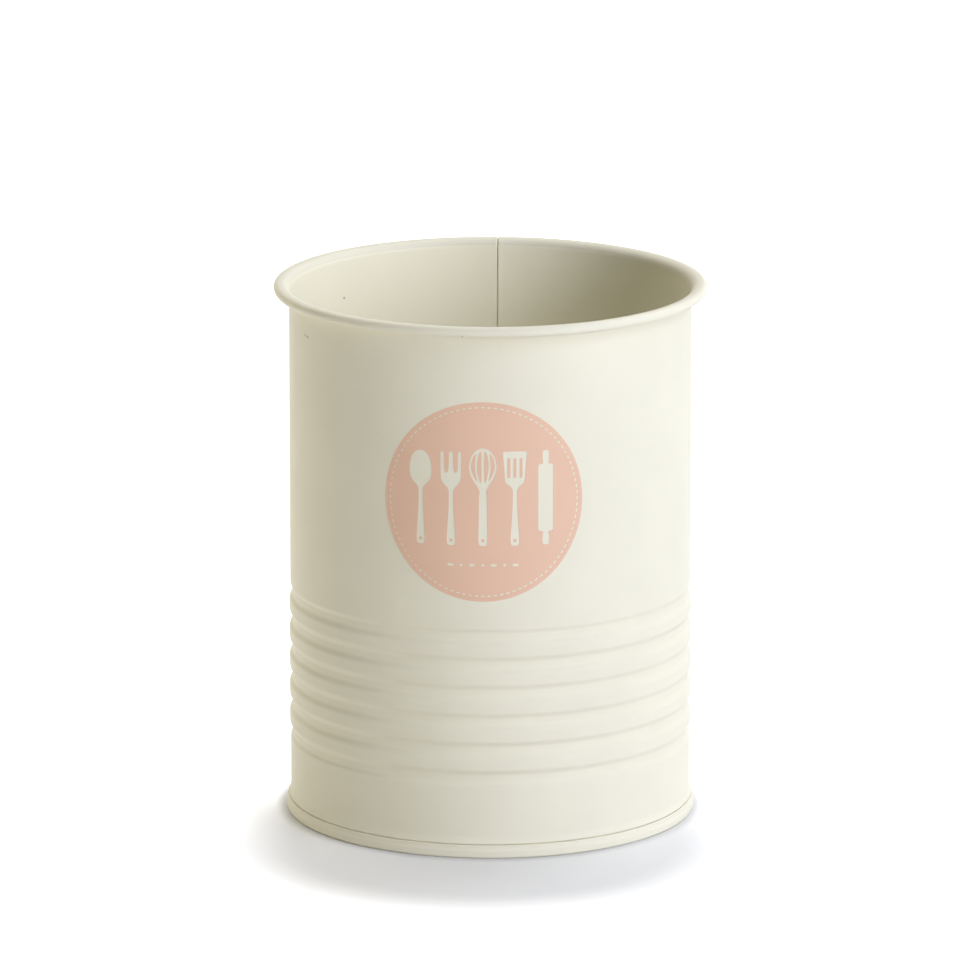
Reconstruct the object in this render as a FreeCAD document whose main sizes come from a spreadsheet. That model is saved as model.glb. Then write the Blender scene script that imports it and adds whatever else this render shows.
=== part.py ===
import FreeCAD, Part
import math
import os
import re
import Sketcher

# A round, open-topped utensil holder of painted steel sheet. It stands on the ring of its base,
# with +Z up and the origin at the middle of the face that it stands on. The printed roundel
# faces -Y and the side seam is at +Y. All sizes are in millimetres.

# Driving sizes: name, value, what it is
SIZES = [
    ("overall_height", 161.0, "standing face to the crown of the rim"),
    ("wall_radius", 60.0, "outside of the plain wall"),
    ("sheet_thickness", 0.35, "steel sheet with its paint"),
    ("fold_gap", 0.1, "room between folded layers of sheet"),
    ("groove_count", 6, "rolled grooves, at least three"),
    ("groove_pitch", 8.64, "from one groove to the next"),
    ("lowest_groove_height", 24.0, "middle of the lowest groove"),
    ("groove_depth", 0.85, "crest to root"),
    ("groove_width", 3.75, "across a groove at half its depth"),
    ("flank_angle", 30.0, "slope of a groove's side, in degrees"),
    ("crest_rise", 0.27, "how far the bands between the grooves swell beyond the wall"),
    ("crest_bend", 1.9, "bend where a band turns into a groove"),
    ("root_bend", 2.1, "bend at the bottom of a groove"),
    ("rim_reach", 4.5, "how far the rim stands out from the wall"),
    ("rim_depth", 3.0, "height of the rolled rim"),
    ("rim_flare", 2.5, "bend where the wall turns out over the rim"),
    ("rim_gap", 0.12, "from the rolled edge to the wall under the rim"),
    ("ring_height", 4.2, "height of the ring round the base"),
    ("ring_corner", 0.8, "rounding of the ring's two lower edges"),
    ("hook_relief", 0.45, "room beyond the end of each hook inside the ring"),
    ("panel_height", 5.0, "top of the base panel at its edge"),
    ("panel_corner", 1.2, "bend at the edge of the base panel"),
    ("step_radius", 44.0, "middle field of the base panel"),
    ("step_rise", 0.8, "how much higher the middle field lies"),
    ("step_bend", 0.9, "bends of that step"),
    ("lock_width", 4.2, "folded lock beside the joint of the side seam"),
    ("lock_jog", 0.8, "sheet that steps out behind the joint"),
    ("lock_layers", 3, "layers of sheet behind the wall at the lock"),
    ("lock_end_gap", 0.5, "from the lock to the rim above and the ring below"),
    ("joint_width", 0.3, "open joint along the inside of the side seam"),
    ("joint_end_lap", 0.6, "how far the lock goes on below the foot of the open joint"),
    ("roundel_radius", 30.0, "printed roundel, measured along the wall"),
    ("roundel_height", 108.0, "middle of the roundel"),
    ("print_thickness", 0.08, "layer of print"),
]
NAMES = [name for name, size, note in SIZES]

# Nearly half of a fold's width: the two bends of a fold meet with a hair of flat between them
FOLD_SHARE = 0.48

doc = FreeCAD.newDocument("utensil_holder")


def write_size_sheet():
    """Put the driving sizes in a sheet with one named cell each."""
    sheet = doc.addObject("Spreadsheet::Sheet", "sizes")
    for row, (name, size, note) in enumerate(SIZES, start=1):
        sheet.set("A%d" % row, name)
        sheet.set("B%d" % row, str(size))
        sheet.set("C%d" % row, note)
        sheet.setAlias("B%d" % row, name)
    doc.recompute()
    return sheet


sizes = write_size_sheet()


def reading(formula):
    """Turn a formula in the names of sizes into an expression that reads the sheet's cells."""
    def cell(word):
        return "sizes." + word.group() if word.group() in NAMES else word.group()
    return re.sub(r"[a-z_]+", cell, formula)


def worth(formula):
    """The number that a formula stands for at the present sizes."""
    return float(sizes.evalExpression(reading(formula)))


# Formulas that several pieces share
FLANK = "(flank_angle * 1 deg)"
END_DEPTH = "(groove_depth - crest_rise)"
LARGEST_BEND = "%s * %s / sin%s / tan(flank_angle * 0.5 deg)" % (FOLD_SHARE, END_DEPTH, FLANK)
CREST_BEND = "min(crest_bend; " + LARGEST_BEND + ")"
ROOT_BEND = "min(root_bend; " + LARGEST_BEND + ")"
CREST = "wall_radius + crest_rise"
ROOT = "wall_radius - " + END_DEPTH
HALF_ROOT = "(groove_width - groove_depth / tan" + FLANK + ") / 2"
FLANK_RUN = "groove_depth / tan" + FLANK
END_RUN = END_DEPTH + " / tan" + FLANK
HIGHEST_GROOVE = "lowest_groove_height + (groove_count - 1) * groove_pitch"
LOCK_TOP = "overall_height - rim_depth - lock_end_gap"
LOCK_FOOT = "ring_height + lock_end_gap"
JOINT_FOOT = LOCK_FOOT + " + joint_end_lap"


def new_body(label):
    body = doc.addObject("PartDesign::Body", label)
    body.Label = label
    return body


def origin_feature(body, role):
    return [item for item in body.Origin.OriginFeatures if item.Role == role][0]


def new_sketch(body, name, at_front):
    """An empty sketch in the YZ plane whose x is the radius, towards -Y at the front or +Y."""
    sketch = body.newObject("Sketcher::SketchObject", name)
    sketch.AttachmentSupport = [(origin_feature(body, "YZ_Plane"), "")]
    sketch.MapMode = "FlatFace"
    sketch.MapReversed = at_front
    return sketch


def arc_between(centre, first, last):
    """A counter-clockwise arc round centre from first to last."""
    radius = first.sub(centre).Length
    start = math.atan2(first.y - centre.y, first.x - centre.x)
    end = math.atan2(last.y - centre.y, last.x - centre.x)
    if end < start:
        end += 2 * math.pi
    return Part.ArcOfCircle(Part.Circle(centre, FreeCAD.Vector(0, 0, 1), radius), start, end)


class SheetSection:
    """The sketched section of a bent sheet.

    corners holds the radius and height formulas of the points where one face of the sheet would
    turn if its bends were sharp, bends the formulas of that face's bend radii at the corners
    between the ends, and thickness the formula of the layer that lies beside that face: to the
    left of the path where side is 1, and to its right where side is -1.
    """

    def __init__(self, body, name, corners, bends, side, at_front=True, thickness="sheet_thickness"):
        self.sketch = new_sketch(body, name, at_front)
        self.limits = []
        self.formulas = {}
        self.corners = corners
        self.bends = bends
        self.side = side
        self.thickness = thickness
        self.points = [FreeCAD.Vector(worth(r), worth(z), 0) for r, z in corners]
        self.headings = [b.sub(a).normalize() for a, b in zip(self.points, self.points[1:])]
        self.place_guide()
        self.draw_faces()
        self.close_ends()
        self.apply_limits()

    def limit(self, *terms, formula=None):
        if formula is not None:
            self.formulas[len(self.limits)] = formula
        self.limits.append(Sketcher.Constraint(*terms))

    def place_guide(self):
        """Draw the sharp-cornered path as construction lines and bind each of its points."""
        self.guide = []
        for a, b in zip(self.points, self.points[1:]):
            self.guide.append(self.sketch.addGeometry(Part.LineSegment(a, b), True))
        for first, second in zip(self.guide, self.guide[1:]):
            self.limit("Coincident", first, 2, second, 1)
        ends = [(line, 1) for line in self.guide] + [(self.guide[-1], 2)]
        for (line, end), point, (radius, height) in zip(ends, self.points, self.corners):
            if radius == "0":
                self.limit("PointOnObject", line, end, -2)
            else:
                self.limit("DistanceX", -1, 1, line, end, point.x, formula=radius)
            self.limit("DistanceY", -1, 1, line, end, point.y, formula=height)

    def turn(self, corner):
        """1 where the path turns left at a corner and -1 where it turns right."""
        before, after = self.headings[corner - 1], self.headings[corner]
        return 1 if before.cross(after).z > 0 else -1

    def draw_faces(self):
        """Draw the two faces of the sheet: straight runs joined by tangent bends."""
        gap = worth(self.thickness)
        runs = len(self.headings)
        starts = list(self.points[:-1])
        ends = list(self.points[1:])
        centres = [None]
        for corner in range(1, runs):
            before, after = self.headings[corner - 1], self.headings[corner]
            half = before.getAngle(after) / 2
            bend = worth(self.bends[corner - 1])
            ends[corner - 1] = self.points[corner].sub(before * (bend * math.tan(half)))
            starts[corner] = self.points[corner].add(after * (bend * math.tan(half)))
            inward = after.sub(before).normalize()
            centres.append(self.points[corner].add(inward * (bend / math.cos(half))))
        self.faces = []
        for offset in (0.0, gap):
            shifts = [FreeCAD.Vector(-h.y, h.x, 0) * (self.side * offset) for h in self.headings]
            lines = []
            for start, end, shift in zip(starts, ends, shifts):
                run = Part.LineSegment(start.add(shift), end.add(shift))
                lines.append(self.sketch.addGeometry(run, False))
            arcs = [None]
            for corner in range(1, runs):
                entry = ends[corner - 1].add(shifts[corner - 1])
                leave = starts[corner].add(shifts[corner])
                left = self.turn(corner) > 0
                arc = arc_between(centres[corner], entry, leave) if left else arc_between(
                    centres[corner], leave, entry)
                arcs.append(self.sketch.addGeometry(arc, False))
                self.limit("Tangent", lines[corner - 1], 2, arcs[corner], 1 if left else 2)
                self.limit("Tangent", arcs[corner], 2 if left else 1, lines[corner], 1)
                grown = -self.side * self.turn(corner)
                bend = self.bends[corner - 1]
                radius = worth(bend)
                if offset:
                    bend = "%s %s %s" % (bend, "+" if grown > 0 else "-", self.thickness)
                    radius += grown * gap
                    self.limit("Coincident", self.faces[0][1][corner], 3, arcs[corner], 3)
                self.limit("Radius", arcs[corner], radius, formula=bend)
            self.faces.append((lines, arcs))
        lines = self.faces[0][0]
        self.limit("Coincident", lines[0], 1, self.guide[0], 1)
        self.limit("Coincident", lines[-1], 2, self.guide[-1], 2)
        for index in range(1, runs):
            self.limit("PointOnObject", lines[index], 1, self.guide[index])
            self.limit("PointOnObject", lines[index - 1], 2, self.guide[index - 1])

    def close_ends(self):
        """Join the two faces across each end of the sheet, square to the sheet."""
        gap = worth(self.thickness)
        face, back = self.faces[0][0], self.faces[1][0]
        for run, end in ((0, 1), (-1, 2)):
            a = self.sketch.getPoint(face[run], end)
            b = self.sketch.getPoint(back[run], end)
            edge = self.sketch.addGeometry(Part.LineSegment(a, b), False)
            self.limit("Coincident", edge, 1, face[run], end)
            self.limit("Coincident", edge, 2, back[run], end)
            self.limit("Perpendicular", edge, face[run])
            self.limit("Distance", edge, gap, formula=self.thickness)

    def apply_limits(self):
        first = self.sketch.addConstraint(self.limits)[0]
        for index, formula in self.formulas.items():
            self.sketch.setExpression("Constraints[%d]" % (first + index), reading(formula))


ROUND = "2 * pi * wall_radius"


def turned(body, name, section, arc=ROUND, far_arc=None):
    """Turn a section about the holder's axis through an arc length measured on the wall.

    The arc lies half to each side of the section, unless far_arc gives the length on the +X side
    of a section at the back, and arc then the length on its -X side.
    """
    feature = body.newObject("PartDesign::Revolution", name)
    feature.Profile = section.sketch
    feature.ReferenceAxis = (section.sketch, ["V_Axis"])
    if far_arc is None:
        feature.Midplane = True
    else:
        feature.Type = "TwoAngles"
        feature.setExpression("Angle2", reading("(" + far_arc + ") / wall_radius * 1 rad"))
    feature.setExpression("Angle", reading("(" + arc + ") / wall_radius * 1 rad"))
    doc.recompute()
    return feature


def repeated(body, name, features):
    """Repeat features of the lowest band for each band between two grooves."""
    pattern = body.newObject("PartDesign::LinearPattern", name)
    pattern.Originals = features
    pattern.Direction = (origin_feature(body, "Z_Axis"), [""])
    pattern.setExpression("Length", reading("(groove_count - 2) * groove_pitch"))
    pattern.setExpression("Occurrences", reading("groove_count - 1"))
    body.Tip = pattern
    doc.recompute()
    return pattern


def band_path():
    """The wall's outer face from the lowest groove, over a band, to the next groove."""
    low = "lowest_groove_height + "
    high = low + "groove_pitch - "
    corners = [
        (ROOT, "lowest_groove_height"),
        (ROOT, low + HALF_ROOT),
        (CREST, low + HALF_ROOT + " + " + FLANK_RUN),
        (CREST, high + HALF_ROOT + " - " + FLANK_RUN),
        (ROOT, high + HALF_ROOT),
        (ROOT, low + "groove_pitch"),
    ]
    return corners, [ROOT_BEND, CREST_BEND, CREST_BEND, ROOT_BEND]


def upper_path():
    """The wall's outer face from the highest groove up to the plain wall."""
    high = HIGHEST_GROOVE + " + " + HALF_ROOT
    corners = [
        (ROOT, HIGHEST_GROOVE),
        (ROOT, high),
        ("wall_radius", high + " + " + END_RUN),
    ]
    return corners, [ROOT_BEND, CREST_BEND]


def lower_path(foot):
    """The wall's outer face from the lowest groove down to a foot above the base ring."""
    low = "lowest_groove_height - " + HALF_ROOT
    corners = [
        (ROOT, "lowest_groove_height"),
        (ROOT, low),
        ("wall_radius", low + " - " + END_RUN),
        ("wall_radius", foot),
    ]
    return corners, [ROOT_BEND, CREST_BEND]


def rim_path():
    """From the plain wall out over the rim, round and back under it to the wall."""
    turn = "%s * rim_depth - sheet_thickness" % FOLD_SHARE
    flare = "min(rim_flare; rim_reach - rim_depth / 2)"
    outer = "wall_radius + rim_reach - sheet_thickness"
    under = "overall_height - rim_depth + sheet_thickness"
    corners = [
        ("wall_radius", "overall_height - sheet_thickness"),
        (outer, "overall_height - sheet_thickness"),
        (outer, under),
        ("wall_radius + rim_gap", under),
    ]
    return corners, [flare, turn, turn]


def hook_path():
    """From the foot of the open joint down inside the ring, out and up again as a hook."""
    turn = "%s * (sheet_thickness + 2 * fold_gap)" % FOLD_SHARE
    floor = "2 * sheet_thickness + fold_gap"
    hook = "wall_radius + sheet_thickness + 2 * fold_gap"
    corners = [
        ("wall_radius", JOINT_FOOT),
        ("wall_radius", floor),
        (hook, floor),
        (hook, "ring_height - sheet_thickness - hook_relief"),
    ]
    return corners, [turn, turn]


def build_side_wall():
    """One sheet rolled round, seamed at the back, grooved, and curled at both ends."""
    wall = new_body("side_wall")
    open_round = ROUND + " - joint_width"
    lock_span = {"arc": "lock_jog", "far_arc": "lock_width"}
    lock = {"at_front": False, "thickness": "lock_layers * sheet_thickness"}

    # The bands between the grooves. The wall stops each side of the seam's open joint, and the
    # lock, folded layers of the same sheet, bridges the joint from behind
    band = SheetSection(wall, "band_section", *band_path(), side=1)
    first_band = turned(wall, "first_band", band, open_round)
    lock_band = SheetSection(wall, "lock_band_section", *band_path(), side=-1, **lock)
    first_lock = turned(wall, "first_lock_band", lock_band, **lock_span)
    repeated(wall, "bands", [first_band, first_lock])

    # The plain wall above the grooves, with its rolled rim, and its lock
    corners, bends = upper_path()
    rim_corners, rim_bends = rim_path()
    upper = SheetSection(wall, "upper_section", corners + rim_corners, bends + rim_bends, side=1)
    turned(wall, "upper_wall", upper, open_round)
    corners.append(("wall_radius", LOCK_TOP))
    lock_upper = SheetSection(wall, "lock_upper_section", corners, bends, side=-1, **lock)
    turned(wall, "lock_upper", lock_upper, **lock_span)

    # The wall below the grooves, its lock, and the hook that the base ring folds over
    lower = SheetSection(wall, "lower_section", *lower_path(JOINT_FOOT), side=-1)
    turned(wall, "lower_wall", lower, open_round)
    lock_lower = SheetSection(wall, "lock_lower_section", *lower_path(LOCK_FOOT), side=1, **lock)
    turned(wall, "lock_lower", lock_lower, **lock_span)
    hook = SheetSection(wall, "hook_section", *hook_path(), side=-1)
    turned(wall, "wall_hook", hook)
    return wall


def build_base_plate():
    """A stamped end: a stepped panel, a wall down inside the holder, and the outer ring."""
    base = new_body("base_plate")
    inside = "wall_radius - sheet_thickness - fold_gap"
    outside = "wall_radius + 2 * sheet_thickness + 3 * fold_gap"
    hook = "wall_radius + sheet_thickness + fold_gap"
    ring_top = "ring_height - sheet_thickness"
    channel_bend = "ring_corner - sheet_thickness"
    hook_bend = "%s * (sheet_thickness + 2 * fold_gap)" % FOLD_SHARE
    corners = [
        ("0", "panel_height + step_rise"),
        ("step_radius", "panel_height + step_rise"),
        ("step_radius + step_rise", "panel_height"),
        (inside, "panel_height"),
        (inside, "sheet_thickness"),
        (outside, "sheet_thickness"),
        (outside, ring_top),
        (hook, ring_top),
        (hook, "2 * sheet_thickness + fold_gap + hook_relief"),
    ]
    bends = ["step_bend", "step_bend", "panel_corner", channel_bend, channel_bend, hook_bend, hook_bend]
    section = SheetSection(base, "base_section", corners, bends, side=-1)
    turned(base, "pressed_base", section)
    return base


def wrapped_edge(radius):
    """The roundel's outline: a circle on the unrolled wall, wrapped round a given radius."""
    reach = worth("roundel_radius")
    surface = Part.Cylinder()
    surface.Radius = radius
    middle = FreeCAD.Base.Vector2d(1.5 * math.pi, worth("roundel_height"))
    outline = Part.Geom2d.Ellipse2d(middle, reach, reach / worth("wall_radius"))
    outline.XAxis = FreeCAD.Base.Vector2d(0, 1)
    return surface, outline.toShape(surface)


def build_print_roundel():
    """A round field of print that lies on the wall and bends with it."""
    wall_surface, inner = wrapped_edge(worth("wall_radius"))
    print_surface, outer = wrapped_edge(worth("wall_radius + print_thickness"))
    faces = [
        Part.Face(wall_surface, Part.Wire(inner)),
        Part.Face(print_surface, Part.Wire(outer)),
        Part.makeRuledSurface(inner, outer),
    ]
    roundel = doc.addObject("Part::Feature", "print_roundel")
    roundel.Label = "print_roundel"
    roundel.Shape = Part.Solid(Part.makeShell(faces))
    roundel.Placement = FreeCAD.Placement()
    return roundel


def check_document(pieces):
    """Stop before anything is written if a feature has failed or a piece is unsound."""
    doc.recompute()
    for item in doc.Objects:
        if "Invalid" in item.State or "Error" in item.State:
            raise RuntimeError("%s has failed: %s" % (item.Name, item.State))
    for piece in pieces:
        if piece.Shape.isNull() or not piece.Shape.isValid():
            raise RuntimeError("%s is not a sound shape" % piece.Label)


def write_pieces(pieces):
    os.makedirs("parts", exist_ok=True)
    for piece in pieces:
        piece.Shape.exportStep("parts/%s.step" % piece.Label)
        box = piece.Shape.BoundBox
        print(piece.Label, "solids", len(piece.Shape.Solids), "volume %.1f" % piece.Shape.Volume,
              "box %.2f %.2f %.2f to %.2f %.2f %.2f" % (box.XMin, box.YMin, box.ZMin,
                                                        box.XMax, box.YMax, box.ZMax))


pieces = [build_side_wall(), build_base_plate(), build_print_roundel()]
check_document(pieces)
write_pieces(pieces)
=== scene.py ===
import bmesh
import bpy
import math
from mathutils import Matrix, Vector


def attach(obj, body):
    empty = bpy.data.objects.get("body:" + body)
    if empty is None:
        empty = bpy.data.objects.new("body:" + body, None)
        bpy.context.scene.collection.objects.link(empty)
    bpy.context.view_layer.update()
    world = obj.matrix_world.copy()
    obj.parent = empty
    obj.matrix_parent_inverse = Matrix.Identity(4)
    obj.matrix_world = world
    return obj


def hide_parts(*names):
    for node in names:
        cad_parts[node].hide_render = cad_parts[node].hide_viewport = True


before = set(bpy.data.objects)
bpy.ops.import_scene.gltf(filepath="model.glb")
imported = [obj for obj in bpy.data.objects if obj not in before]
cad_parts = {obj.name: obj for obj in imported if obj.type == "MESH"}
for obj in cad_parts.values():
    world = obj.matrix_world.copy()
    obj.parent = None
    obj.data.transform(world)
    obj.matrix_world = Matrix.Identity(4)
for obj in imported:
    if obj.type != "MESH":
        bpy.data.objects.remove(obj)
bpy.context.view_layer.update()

# Side wall: one sheet of thin steel, enamelled cream on both faces, rolled into a tube and locked
# along the back. Six ring grooves are rolled into its lower half, its top edge is curled out over
# nothing, and its foot is turned out and up as the hook that the base ring folds over.
MM = 0.001
SHEET = 0.35 * MM
WALL = 60.0 * MM
ROOT = 59.42 * MM
CREST = 60.27 * MM
GROOVES = 6
PITCH = 8.64 * MM
LOWEST_GROOVE = 24.0 * MM
HALF_ROOT = 1.139 * MM
FLANK_RUN = 1.472 * MM
END_RUN = 1.005 * MM
CREST_BEND = 1.9 * MM
ROOT_BEND = 2.078 * MM
HALF_JOINT = 0.24 * MM
ARC_STEP = math.radians(4)
GUARD = 0.3 * MM


class Signal:
    """An output of a shader node. Sums and products with it add Math nodes."""

    def __init__(self, tree, output):
        self.tree = tree
        self.output = output

    def node(self, kind, settings, inputs, output=0):
        """Add any other node, fill its inputs with numbers or signals, and give one output."""
        made = self.tree.nodes.new(kind)
        for name, value in settings.items():
            setattr(made, name, value)
        for name, value in inputs.items():
            if isinstance(value, Signal):
                self.tree.links.new(value.output, made.inputs[name])
            else:
                made.inputs[name].default_value = value
        return Signal(self.tree, made.outputs[output])

    def maths(self, operation, *values):
        return self.node("ShaderNodeMath", {"operation": operation}, dict(enumerate(values)))

    def __add__(self, other):
        return self.maths("ADD", self, other)

    def __sub__(self, other):
        return self.maths("SUBTRACT", self, other)

    def __rsub__(self, other):
        return self.maths("SUBTRACT", other, self)

    def __mul__(self, other):
        return self.maths("MULTIPLY", self, other)

    __radd__ = __add__
    __rmul__ = __mul__

    def noise(self, scale, detail=2.0):
        """Noise round 0.5 with this signal as its place."""
        inputs = {"Vector": self, "Scale": scale, "Detail": detail}
        return self.node("ShaderNodeTexNoise", {}, inputs)

    def ramp(self, low, high):
        """0 where this signal is at low or beyond it, 1 at high."""
        settings = {"interpolation_type": "SMOOTHSTEP"}
        inputs = {"Value": self, "From Min": low, "From Max": high}
        return self.node("ShaderNodeMapRange", settings, inputs)

    def blend(self, low, high):
        """The colour low where this signal is 0 and high where it is 1."""
        inputs = {0: self, 6: low, 7: high}
        return self.node("ShaderNodeMix", {"data_type": "RGBA"}, inputs, 2)


def new_surface(name, **constants):
    """A material, the place signal of its nodes, and a call that feeds its shader."""
    material = bpy.data.materials.new(name)
    material.use_nodes = True
    tree = material.node_tree
    shader = tree.nodes["Principled BSDF"]
    for socket, value in constants.items():
        shader.inputs[socket.replace("_", " ")].default_value = value
    place = tree.nodes.new("ShaderNodeTexCoord").outputs["Object"]

    def feed(socket, signal):
        tree.links.new(signal.output, shader.inputs[socket])
    return material, Signal(tree, place), feed


def painted(name, colour, roughness, inside_painted_light=None, flaws_and_highlight=()):
    """Baked enamel: nearly even colour, a satin gloss and the finest orange peel.

    The colour inside is a lighter copy of the cream, painted on the upper inner face: painted light
    that stands in for more light falling there. A flaw is a speck with its place, radius and colour,
    and a light speck among them is a painted highlight.
    """
    darker = tuple(part * 0.985 for part in colour) + (1.0,)
    lighter = tuple(min(part * 1.012, 1.0) for part in colour) + (1.0,)
    material, place, feed = new_surface(name, Specular_IOR_Level=0.13)
    coat = place.noise(34.0).ramp(0.3, 0.7).blend(darker, lighter)
    if inside_painted_light:
        flat = place.node("ShaderNodeVectorMath", {"operation": "MULTIPLY"}, {0: place, 1: (1, 1, 0)})
        radius = flat.node("ShaderNodeVectorMath", {"operation": "LENGTH"}, {0: flat}, 1)
        height = place.node("ShaderNodeSeparateXYZ", {}, {0: place}, 2)
        # Painted light: the upper inner face takes a lighter copy of the cream
        painted_light_within = (1 - radius.ramp(WALL - 0.24 * MM, WALL - 0.12 * MM)) * height.ramp(0.075, 0.11)
        coat = painted_light_within.blend(coat, inside_painted_light + (1.0,))
    for spot, size, shade in flaws_and_highlight:
        ends = {0: place, 1: tuple(part * MM for part in spot)}
        away = place.node("ShaderNodeVectorMath", {"operation": "DISTANCE"}, ends, 1)
        coat = away.ramp(size * MM, 0.5 * size * MM).blend(coat, shade + (1.0,))
    feed("Base Color", coat)
    feed("Roughness", place.noise(160.0) * 0.06 + (roughness - 0.03))
    height = place.noise(1150.0, 1.0) + place.noise(240.0, 1.0) * 0.6
    bump = {"Height": height, "Strength": 0.035, "Distance": 0.1 * MM}
    feed("Normal", place.node("ShaderNodeBump", {}, bump))
    return material


def bent_face(corners, bends):
    """Points of one face of a bent sheet, each with the unit normal to the left of the path.

    The path turns at each corner between its ends with the given bend radius. A long straight
    has a point close to each of its ends, which keeps a bend's smooth shading out of it.
    """
    corners = [Vector(corner) for corner in corners]
    face = []

    def run(start, end, closing=False):
        way = (end - start).normalized()
        normal = Vector((-way.y, way.x))
        if (end - start).length > 3 * GUARD:
            face.append((start + way * GUARD, normal))
            face.append((end - way * GUARD, normal))
        if closing:
            face.append((end, normal))

    first_way = (corners[1] - corners[0]).normalized()
    face.append((corners[0], Vector((-first_way.y, first_way.x))))
    here = corners[0]
    for before, corner, after, bend in zip(corners, corners[1:], corners[2:], bends):
        way_in = (corner - before).normalized()
        way_out = (after - corner).normalized()
        turn = math.atan2(way_in.cross(way_out), way_in.dot(way_out))
        reach = bend * math.tan(abs(turn) / 2)
        start = corner - way_in * reach
        run(here, start)
        radius = math.copysign(bend, turn)
        centre = start + Vector((-way_in.y, way_in.x)) * radius
        heading = math.atan2(way_in.y, way_in.x)
        steps = math.ceil(abs(turn) / ARC_STEP)
        for step in range(steps + 1):
            angle = heading + turn * step / steps
            normal = Vector((-math.sin(angle), math.cos(angle)))
            face.append((centre - normal * radius, normal))
        here = corner + way_out * reach
    run(here, corners[-1], closing=True)
    return face


def grid_faces(rows, columns, close_rows, close_columns, first=0):
    """Quads over points that are stored row after row, from the point numbered first."""
    quads = []
    for row in range(rows if close_rows else rows - 1):
        near = first + row * columns
        far = first + (row + 1) % rows * columns
        for column in range(columns if close_columns else columns - 1):
            beside = (column + 1) % columns
            quads.append((near + column, near + beside, far + beside, far + column))
    return quads


def round_axis(radius, height, azimuth):
    return (radius * math.cos(azimuth), radius * math.sin(azimuth), height)


def new_piece(name, points, faces, material, node, sharp=math.radians(50)):
    """A closed piece that stands for a node of the frame."""
    mesh = bpy.data.meshes.new(name)
    mesh.from_pydata(points, [], faces)
    form = bmesh.new()
    form.from_mesh(mesh)
    bmesh.ops.remove_doubles(form, verts=form.verts, dist=0.0002 * MM)
    bmesh.ops.recalc_face_normals(form, faces=form.faces)
    form.to_mesh(mesh)
    form.free()
    mesh.materials.append(material)
    mesh.shade_smooth()
    mesh.set_sharp_from_angle(angle=sharp)
    piece = bpy.data.objects.new(name, mesh)
    bpy.context.scene.collection.objects.link(piece)
    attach(piece, "root")
    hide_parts(node)
    return piece


foot_path = [
    (WALL + 0.55 * MM, 2.0 * MM),
    (WALL + 0.55 * MM, 0.8 * MM),
    (WALL, 0.8 * MM),
    (WALL, 3.7 * MM),
    (WALL + 0.6 * MM, 4.3 * MM),
    (WALL, 6.0 * MM),
]
foot_bends = [0.264 * MM, 0.264 * MM, 0.4 * MM, 0.4 * MM, 3.0 * MM]
wall_path = []
for groove in range(GROOVES):
    middle = LOWEST_GROOVE + groove * PITCH
    below, run_below = (WALL, END_RUN) if groove == 0 else (CREST, FLANK_RUN)
    above, run_above = (WALL, END_RUN) if groove == GROOVES - 1 else (CREST, FLANK_RUN)
    wall_path += [
        (below, middle - HALF_ROOT - run_below),
        (ROOT, middle - HALF_ROOT),
        (ROOT, middle + HALF_ROOT),
        (above, middle + HALF_ROOT + run_above),
    ]
groove_bends = [CREST_BEND, ROOT_BEND, ROOT_BEND, CREST_BEND] * GROOVES
rim_path = [
    (WALL, 160.65 * MM),
    (WALL + 4.15 * MM, 160.65 * MM),
    (WALL + 4.15 * MM, 158.35 * MM),
    (WALL + 0.12 * MM, 158.35 * MM),
]
rim_bends = [2.5 * MM, 1.09 * MM, 1.09 * MM]
outer_face = bent_face(foot_path + wall_path + rim_path, foot_bends + groove_bends + rim_bends)

# The sheet beside the open joint: pressed in a little by the lock, with its cut edges rounded
STRIP = 2.2 * MM
EDGE_ROUNDING = 0.07 * MM


def pressed_in(arc):
    """How far the sheet stands in from the round, by its distance to the right of the joint."""
    if 0 < arc < STRIP:
        return 0.075 * MM * (1 - arc / STRIP)
    if -0.9 * MM < arc < 0:
        return -0.03 * MM * (1 + arc / (0.9 * MM)) ** 2
    return 0.0


near_joint = [0.37, 0.6, 1.0, 1.4, 1.8, 2.15, 2.3, 2.9, 3.8]
arcs = [HALF_JOINT, HALF_JOINT + EDGE_ROUNDING] + [arc * MM for arc in near_joint]
around = 2 * math.pi * WALL
regular = 280
even = [4.8 * MM + (around - 9.6 * MM) * step / regular for step in range(regular + 1)]
arcs += even + [around - arc for arc in reversed(arcs)]
wall_points = []
for arc in arcs:
    azimuth = math.pi / 2 - arc / WALL
    press = pressed_in(arc if arc < around / 2 else arc - around)
    at_edge = min(arc, around - arc) < HALF_JOINT + 0.5 * EDGE_ROUNDING
    inset = EDGE_ROUNDING if at_edge else 0.0
    front = []
    back = []
    for point, normal in outer_face:
        moved = point + normal * press * max(0.0, -normal.x)
        front.append(moved + normal * inset)
        back.append(moved + normal * (SHEET - inset))
    for point in front + back[::-1]:
        wall_points.append(round_axis(point.x, point.y, azimuth))
loop = 2 * len(outer_face)
wall_faces = grid_faces(len(arcs), loop, False, True)
for start in (0, (len(arcs) - 1) * loop):
    for step in range(len(outer_face) - 1):
        other = start + loop - 1 - step
        wall_faces.append((start + step, start + step + 1, other - 1, other))

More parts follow.
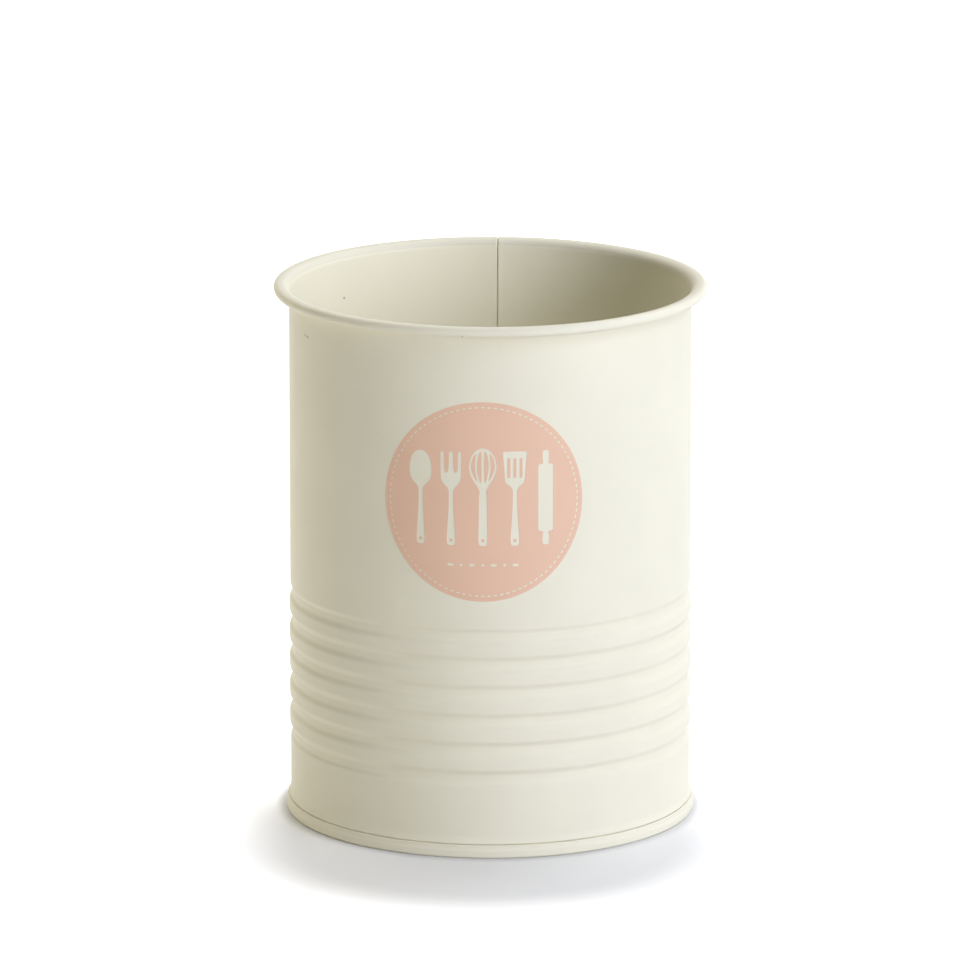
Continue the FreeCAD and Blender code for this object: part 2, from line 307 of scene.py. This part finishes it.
# The lock: the sheet's two edges hooked together behind the joint and pressed flat. One edge
# steps out beside the joint, and the other edge's fold is the rounded nose on the far side.
lock_outline = [(-0.8, 0.0), (-0.78, 0.25), (-0.7, 0.55), (-0.58, 0.8), (-0.42, 0.96), (-0.22, 1.03)]
lock_outline += [(0.0, 1.05), (0.3, 1.05), (3.55, 1.05), (3.85, 1.05), (4.02, 1.01), (4.13, 0.92)]
lock_outline += [(4.19, 0.8), (4.2, 0.7), (4.19, 0.6), (4.13, 0.48), (4.04, 0.39), (3.93, 0.355)]
lock_outline += [(3.93, 0.345), (4.03, 0.31), (4.08, 0.24), (4.08, 0.0)]
lock_path = [(WALL, 4.7 * MM)] + wall_path + [(WALL, 157.5 * MM)]
first = len(wall_points)
lock_face = bent_face(lock_path, groove_bends)
for point, normal in lock_face:
    for arc, height in lock_outline:
        place = point - normal * height * MM
        wall_points.append(round_axis(place.x, place.y, math.pi / 2 - arc * MM / WALL))
width = len(lock_outline)
wall_faces += grid_faces(len(lock_face), width, False, True, first)
wall_faces.append(tuple(range(first, first + width)))
wall_faces.append(tuple(range(len(wall_points) - width, len(wall_points))))

# The lap: a narrow tongue of the sheet that goes on behind the open joint, over the rolled rim
lap_outline = [(-0.9, -0.02), (-0.9, 0.16), (0.9, 0.16), (0.9, -0.02)]
first = len(wall_points)
lap_face = bent_face([(WALL, 157.0 * MM)] + rim_path, rim_bends)
for point, normal in lap_face:
    for arc, height in lap_outline:
        place = point - normal * height * MM
        wall_points.append(round_axis(place.x, place.y, math.pi / 2 - arc * MM / WALL))
width = len(lap_outline)
wall_faces += grid_faces(len(lap_face), width, False, True, first)
wall_faces.append(tuple(range(first, first + width)))
wall_faces.append(tuple(range(len(wall_points) - width, len(wall_points))))

CREAM = (0.83, 0.793, 0.655)
# A lighter cream for the upper inner face, painted light that brightens the inside
PAINTED_LIGHT_CREAM_INSIDE = (0.93, 0.89, 0.73)
FLAW = (0.3, 0.27, 0.22)
PAINTED_HIGHLIGHT = (0.95, 0.95, 0.92)
# Small flaws in the coat: a tick at the upper left, a speck inside and a dark chip on the rim, with a painted
# highlight fleck beside the chip
flaws_and_highlight = [
    ((-53.92, -26.55, 150.22), 0.35, FLAW),
    ((-53.49, -27.45, 150.05), 0.4, FLAW),
    ((-52.99, -28.36, 149.9), 0.45, FLAW),
    ((-45.47, 38.3, 146.98), 0.5, FLAW),
    ((-5.85, -63.49, 158.6), 0.55, FLAW),
    # A near-white painted highlight fleck on the rim's lower lip
    ((-4.77, -63.58, 158.6), 0.5, PAINTED_HIGHLIGHT),
]
cream_paint = painted("cream_enamel", CREAM, 0.46, PAINTED_LIGHT_CREAM_INSIDE, flaws_and_highlight)
wall = new_piece("side_wall_sheet", wall_points, wall_faces, cream_paint, "side_wall")

# Base plate: a stamped round end of the same cream enamelled steel. Its stepped panel closes the
# tube, its edge goes down inside the wall and comes up round the wall's hook, and the fold
# pressed together there is the ring that the holder stands on.
base_path = [
    (60.45, 1.25), (60.45, 3.6), (60.55, 3.6), (60.55, 3.0), (60.97, 2.1), (60.97, 0.35),
    (59.55, 0.35), (59.55, 5.0), (44.8, 5.0), (44.0, 5.8), (0.0, 5.8),
]
base_bends = [0.05, 0.05, 1.5, 0.8, 0.45, 0.45, 1.2, 0.9, 0.9]
corners = [(radius * MM, height * MM) for radius, height in base_path]
upper_face = bent_face(corners, [bend * MM for bend in base_bends])
BASE_COLUMNS = 288
section = [point for point, normal in upper_face]
section += [point + normal * SHEET for point, normal in reversed(upper_face)]
base_points = []
for column in range(BASE_COLUMNS):
    azimuth = 2 * math.pi * (column + 0.5) / BASE_COLUMNS
    base_points += [round_axis(max(point.x, 0.0), point.y, azimuth) for point in section]
base_faces = grid_faces(BASE_COLUMNS, len(section), True, True)
base = new_piece("base_plate_sheet", base_points, base_faces, cream_paint, "base_plate")

# Print roundel: one thin layer of matt pink ink, printed on the flat sheet before it was rolled.
# The ring of stitches and the row of kitchen tools are left open in it, so that the cream
# enamel shows through.
ROUNDEL = 30.0
ROUNDEL_MIDDLE = 108.0 * MM
INK = 0.07 * MM
STITCH_RING = 28.4
STITCHES = 96

drawing = bpy.data.curves.new("roundel_drawing", "CURVE")
drawing.dimensions = "2D"
drawing.fill_mode = "BOTH"


def outline(points, smooth=False):
    """Add a closed outline to the drawing, in millimetres from the roundel's middle."""
    spline = drawing.splines.new("NURBS" if smooth else "POLY")
    spline.points.add(len(points) - 1)
    for knot, (across, up) in zip(spline.points, points):
        knot.co = (across, up, 0.0, 1.0)
    spline.use_cyclic_u = True
    if smooth:
        spline.order_u = 3
        spline.resolution_u = 6


def stroke(across, up, angle, half_length, half_width):
    """A round-ended mark."""
    along = Vector((math.cos(angle), math.sin(angle)))
    aside = Vector((-along.y, along.x))
    points = []
    for step in range(12):
        turn = 2 * math.pi * (step + 0.5) / 12
        end = math.copysign(half_length - half_width, math.cos(turn))
        spot = Vector((across, up)) + along * (end + half_width * math.cos(turn))
        points.append(tuple(spot + aside * half_width * math.sin(turn)))
    outline(points)


def tool(across, half):
    """A tool upright on its own line, from the heights and half widths of its right side."""
    right = [(across + width, up) for up, width in half]
    left = [(across - width, up) for up, width in reversed(half)]
    outline(right + left, smooth=True)


outline([(ROUNDEL * math.cos(math.radians(turn)), ROUNDEL * math.sin(math.radians(turn)))
         for turn in range(360)])
for stitch in range(STITCHES):
    turn = 2 * math.pi * stitch / STITCHES
    spot = (STITCH_RING * math.cos(turn), STITCH_RING * math.sin(turn))
    stroke(*spot, turn + math.pi / 2, 0.56, 0.225)

HANDLE = [(-13.2, 0.5), (-13.0, 1.15), (-11.5, 1.35), (-8.0, 1.1), (-3.0, 0.75)]
HANG_HOLE = -11.6
# Spoon
spoon = [(2.5, 0.6), (4.0, 0.8), (5.2, 2.2), (7.0, 3.3), (10.0, 3.5), (13.0, 2.9), (14.6, 1.6), (15.0, 0.4)]
tool(-18.6, HANDLE + spoon)
# Fork with three tines
fork = [
    (2.5, 0.6), (4.0, 0.9), (5.2, 2.2), (6.6, 3.0), (8.5, 3.1), (14.0, 3.15), (15.0, 2.95),
    (15.0, 2.25), (14.0, 2.1), (9.5, 2.0), (8.6, 1.7), (8.6, 1.1), (9.5, 0.7), (14.0, 0.6),
    (15.0, 0.5), (15.0, 0.1),
]
tool(-9.4, HANDLE + fork)
# Whisk, whose wires leave the pink between them
whisk = [
    (1.5, 1.15), (2.0, 1.15), (3.0, 0.9), (4.5, 1.5), (7.5, 3.5), (10.5, 4.2), (13.5, 3.6),
    (15.6, 2.0), (16.2, 0.5),
]
tool(0.0, [(-13.2, 0.5), (-13.0, 1.15), (-11.5, 1.4), (-6.0, 1.25), (0.0, 1.2)] + whisk)
for side in (-1, 1):
    inner_gap = [(0.45, 5.0), (1.2, 7.0), (1.75, 10.0), (1.6, 13.0), (1.0, 15.0), (0.42, 15.6), (0.4, 10.0)]
    outer_gap = [(1.5, 5.8), (2.9, 8.0), (3.6, 10.5), (3.2, 13.0), (1.9, 15.0), (2.2, 13.0), (2.35, 10.0), (1.9, 7.4)]
    outline([(side * across, up) for across, up in inner_gap], smooth=True)
    outline([(side * across, up) for across, up in outer_gap], smooth=True)
# Slotted turner
turner = [
    (2.5, 0.6), (4.2, 0.8), (5.2, 1.9), (5.6, 2.7), (7.0, 2.95), (14.0, 3.5), (15.0, 3.5), (15.2, 3.1),
]
tool(9.4, HANDLE + turner)
for offset in (-1.8, 0.0, 1.8):
    stroke(9.4 + offset, 10.2, math.pi / 2, 3.0, 0.42)
# Rolling pin
pin = [
    (-13.2, 0.5), (-13.0, 0.95), (-11.0, 1.05), (-9.4, 0.8), (-9.2, 0.8), (-9.1, 1.9), (-8.6, 2.3),
    (-7.0, 2.3), (9.0, 2.3), (10.6, 2.3), (11.1, 1.9), (11.2, 0.8), (11.4, 0.8), (13.0, 1.05),
    (15.0, 0.95), (15.2, 0.5),
]
tool(18.6, pin)
for across in (-18.6, -9.4, 0.0, 9.4):
    stroke(across, HANG_HOLE, 0.0, 0.5, 0.499)
# A row of small marks under the tools
for step in range(-3, 4):
    stroke(step * 3.2, -19.0, 0.0, 0.9 if step % 2 else 0.45, 0.4)

flat = bpy.data.objects.new("roundel_drawing", drawing)
bpy.context.scene.collection.objects.link(flat)
bpy.context.view_layer.update()
evaluated = flat.evaluated_get(bpy.context.evaluated_depsgraph_get())
filled = bpy.data.meshes.new_from_object(evaluated)
form = bmesh.new()
form.from_mesh(filled)
bmesh.ops.remove_doubles(form, verts=form.verts, dist=0.001)
for across in range(1 - int(ROUNDEL), int(ROUNDEL)):
    geometry = form.verts[:] + form.edges[:] + form.faces[:]
    bmesh.ops.bisect_plane(form, geom=geometry, plane_co=(across, 0, 0), plane_no=(1, 0, 0))
bmesh.ops.recalc_face_normals(form, faces=form.faces)
front = bmesh.ops.extrude_face_region(form, geom=form.faces[:], use_keep_orig=True)["geom"]
raised = {item for item in front if isinstance(item, bmesh.types.BMVert)}
for corner in form.verts:
    azimuth = corner.co.x * MM / WALL - math.pi / 2
    radius = WALL + (INK if corner in raised else 0.0)
    corner.co = round_axis(radius, ROUNDEL_MIDDLE + corner.co.y * MM, azimuth)
form.to_mesh(filled)
form.free()
PINK = (0.815, 0.545, 0.405)
pink_ink = painted("pink_ink", PINK, 0.42)
ink_points = [tuple(corner.co) for corner in filled.vertices]
ink_faces = [tuple(face.vertices) for face in filled.polygons]
new_piece("roundel_print", ink_points, ink_faces, pink_ink, "print_roundel", math.radians(30))
bpy.data.objects.remove(flat)
bpy.data.meshes.remove(filled)

# Floor: a seamless sheet of white studio paper that runs on past the view. It isn't part of the
# holder. It keeps the holder's soft shadow, and it shines to the camera alone, less near the
# holder: a painted shadow round the foot, with a thin painted contact shadow ring at its edge.
def seen_rays(tree):
    """1 for the rays that look: from the camera, in a gloss or through glass. 0 for light."""
    path = tree.nodes.new("ShaderNodeLightPath")
    seen = Signal(tree, path.outputs["Is Camera Ray"])
    for kind in ("Is Glossy Ray", "Is Transmission Ray"):
        seen = seen.maths("MAXIMUM", seen, Signal(tree, path.outputs[kind]))
    return seen


# Painted shadow on the paper: its middle, its reach, and the shine near and far
SHADE_MIDDLE = (0.0, -0.042, 0.0)
SHADE_REACH = (0.055, 0.093)
NEAR_GLOW = 0.17
FAR_GLOW = 0.85
PAINTED_CONTACT_SHADOW_REACH = (0.0612, 0.0655)
floor_mesh = bpy.data.meshes.new("floor")
floor_mesh.from_pydata([(-6, -6, 0), (6, -6, 0), (6, 6, 0), (-6, 6, 0)], [], [(0, 1, 2, 3)])
floor = bpy.data.objects.new("floor", floor_mesh)
bpy.context.scene.collection.objects.link(floor)
paper, place, feed = new_surface("studio_paper", Base_Color=(0.68, 0.68, 0.7, 1.0))
feed("Emission Strength", seen_rays(paper.node_tree))
# Painted shadow: the shine to the camera is dimmer near the holder, most in front of it
away = place.node("ShaderNodeVectorMath", {"operation": "DISTANCE"}, {0: place, 1: SHADE_MIDDLE}, 1)
near = (NEAR_GLOW, NEAR_GLOW, NEAR_GLOW, 1.0)
far = (FAR_GLOW, FAR_GLOW, FAR_GLOW, 1.0)
glow_and_painted_shadow = away.ramp(*SHADE_REACH).blend(near, far)
# Painted contact shadow: the shine is darkened in a thin ring round the holder's foot
painted_contact_shadow = 1 - place.node("ShaderNodeVectorMath", {"operation": "LENGTH"}, {0: place}, 1).ramp(*PAINTED_CONTACT_SHADOW_REACH)
feed("Emission Color", (painted_contact_shadow * 0.85).blend(glow_and_painted_shadow, (0.0, 0.0, 0.0, 1.0)))
feed("Roughness", place.noise(60.0) * 0.04 + 0.4)
floor_mesh.materials.append(paper)

# Light: a wide cool key from the right, another above it, two low warm cards at the left that
# leave the inside dark, and three lamps behind that light the paper. None is in the view.
world = bpy.data.worlds.new("studio")
bpy.context.scene.world = world
world.use_nodes = True
room = world.node_tree
background = room.nodes["Background"]
background.inputs["Color"].default_value = (1.0, 1.0, 1.0, 1.0)
ROOM = 0.01
room.links.new((seen_rays(room) * (1 - ROOM) + ROOM).output, background.inputs["Strength"])


def softbox(name, azimuth, elevation, distance, size, level, colour=(1.0, 1.0, 1.0)):
    """An area lamp that faces the holder, at an azimuth from the front towards the right."""
    turn = math.radians(azimuth)
    rise = math.radians(elevation)
    aim = Vector((0.0, 0.0, 0.08))
    away = Vector((math.cos(rise) * math.sin(turn), -math.cos(rise) * math.cos(turn), math.sin(rise)))
    lamp = bpy.data.lights.new(name, "AREA")
    lamp.shape = "RECTANGLE"
    lamp.size, lamp.size_y = size
    lamp.color = colour
    lamp.energy = level * (math.pi * distance) ** 2
    box = bpy.data.objects.new(name, lamp)
    box.location = aim + away * distance
    box.rotation_euler = away.to_track_quat("Z", "Y").to_euler()
    bpy.context.scene.collection.objects.link(box)


COOL = (0.96, 1.0, 1.09)
WARM = (1.06, 1.0, 0.8)
softbox("key_softbox", 47, 14, 1.8, (0.9, 0.7), 0.5, COOL)
softbox("upper_key_softbox", 55, 42, 1.8, (0.9, 0.9), 0.34, COOL)
softbox("back_right_softbox", 130, 42, 1.8, (0.9, 0.9), 0.18, COOL)
softbox("left_card", -95, 0, 1.0, (0.6, 0.15), 0.13, WARM)
softbox("left_front_card", -50, 0, 1.0, (0.6, 0.15), 0.15, WARM)
softbox("back_left_softbox", -140, 42, 1.8, (0.9, 0.9), 0.3, WARM)
softbox("overhead_softbox", 150, 66, 1.7, (0.8, 0.8), 0.28)

# Camera: a long lens from a little above, as in the photograph
CAMERA_DISTANCE = 2.6061
CAMERA_AZIMUTH = math.radians(2.05)
CAMERA_ELEVATION = 0.24607
MID_HEIGHT = 0.0805
reach = CAMERA_DISTANCE * math.cos(CAMERA_ELEVATION)
lens = bpy.data.cameras.new("camera")
lens.sensor_width = 36.0
lens.lens = 326.1
camera = bpy.data.objects.new("camera", lens)
camera.location = (
    reach * math.sin(CAMERA_AZIMUTH),
    -reach * math.cos(CAMERA_AZIMUTH),
    MID_HEIGHT + CAMERA_DISTANCE * math.sin(CAMERA_ELEVATION),
)
camera.rotation_euler = (math.radians(90 - 13.680), 0.0, CAMERA_AZIMUTH + math.radians(0.0698))
bpy.context.scene.collection.objects.link(camera)
bpy.context.scene.camera = camera
bpy.context.scene.view_settings.view_transform = "Standard"
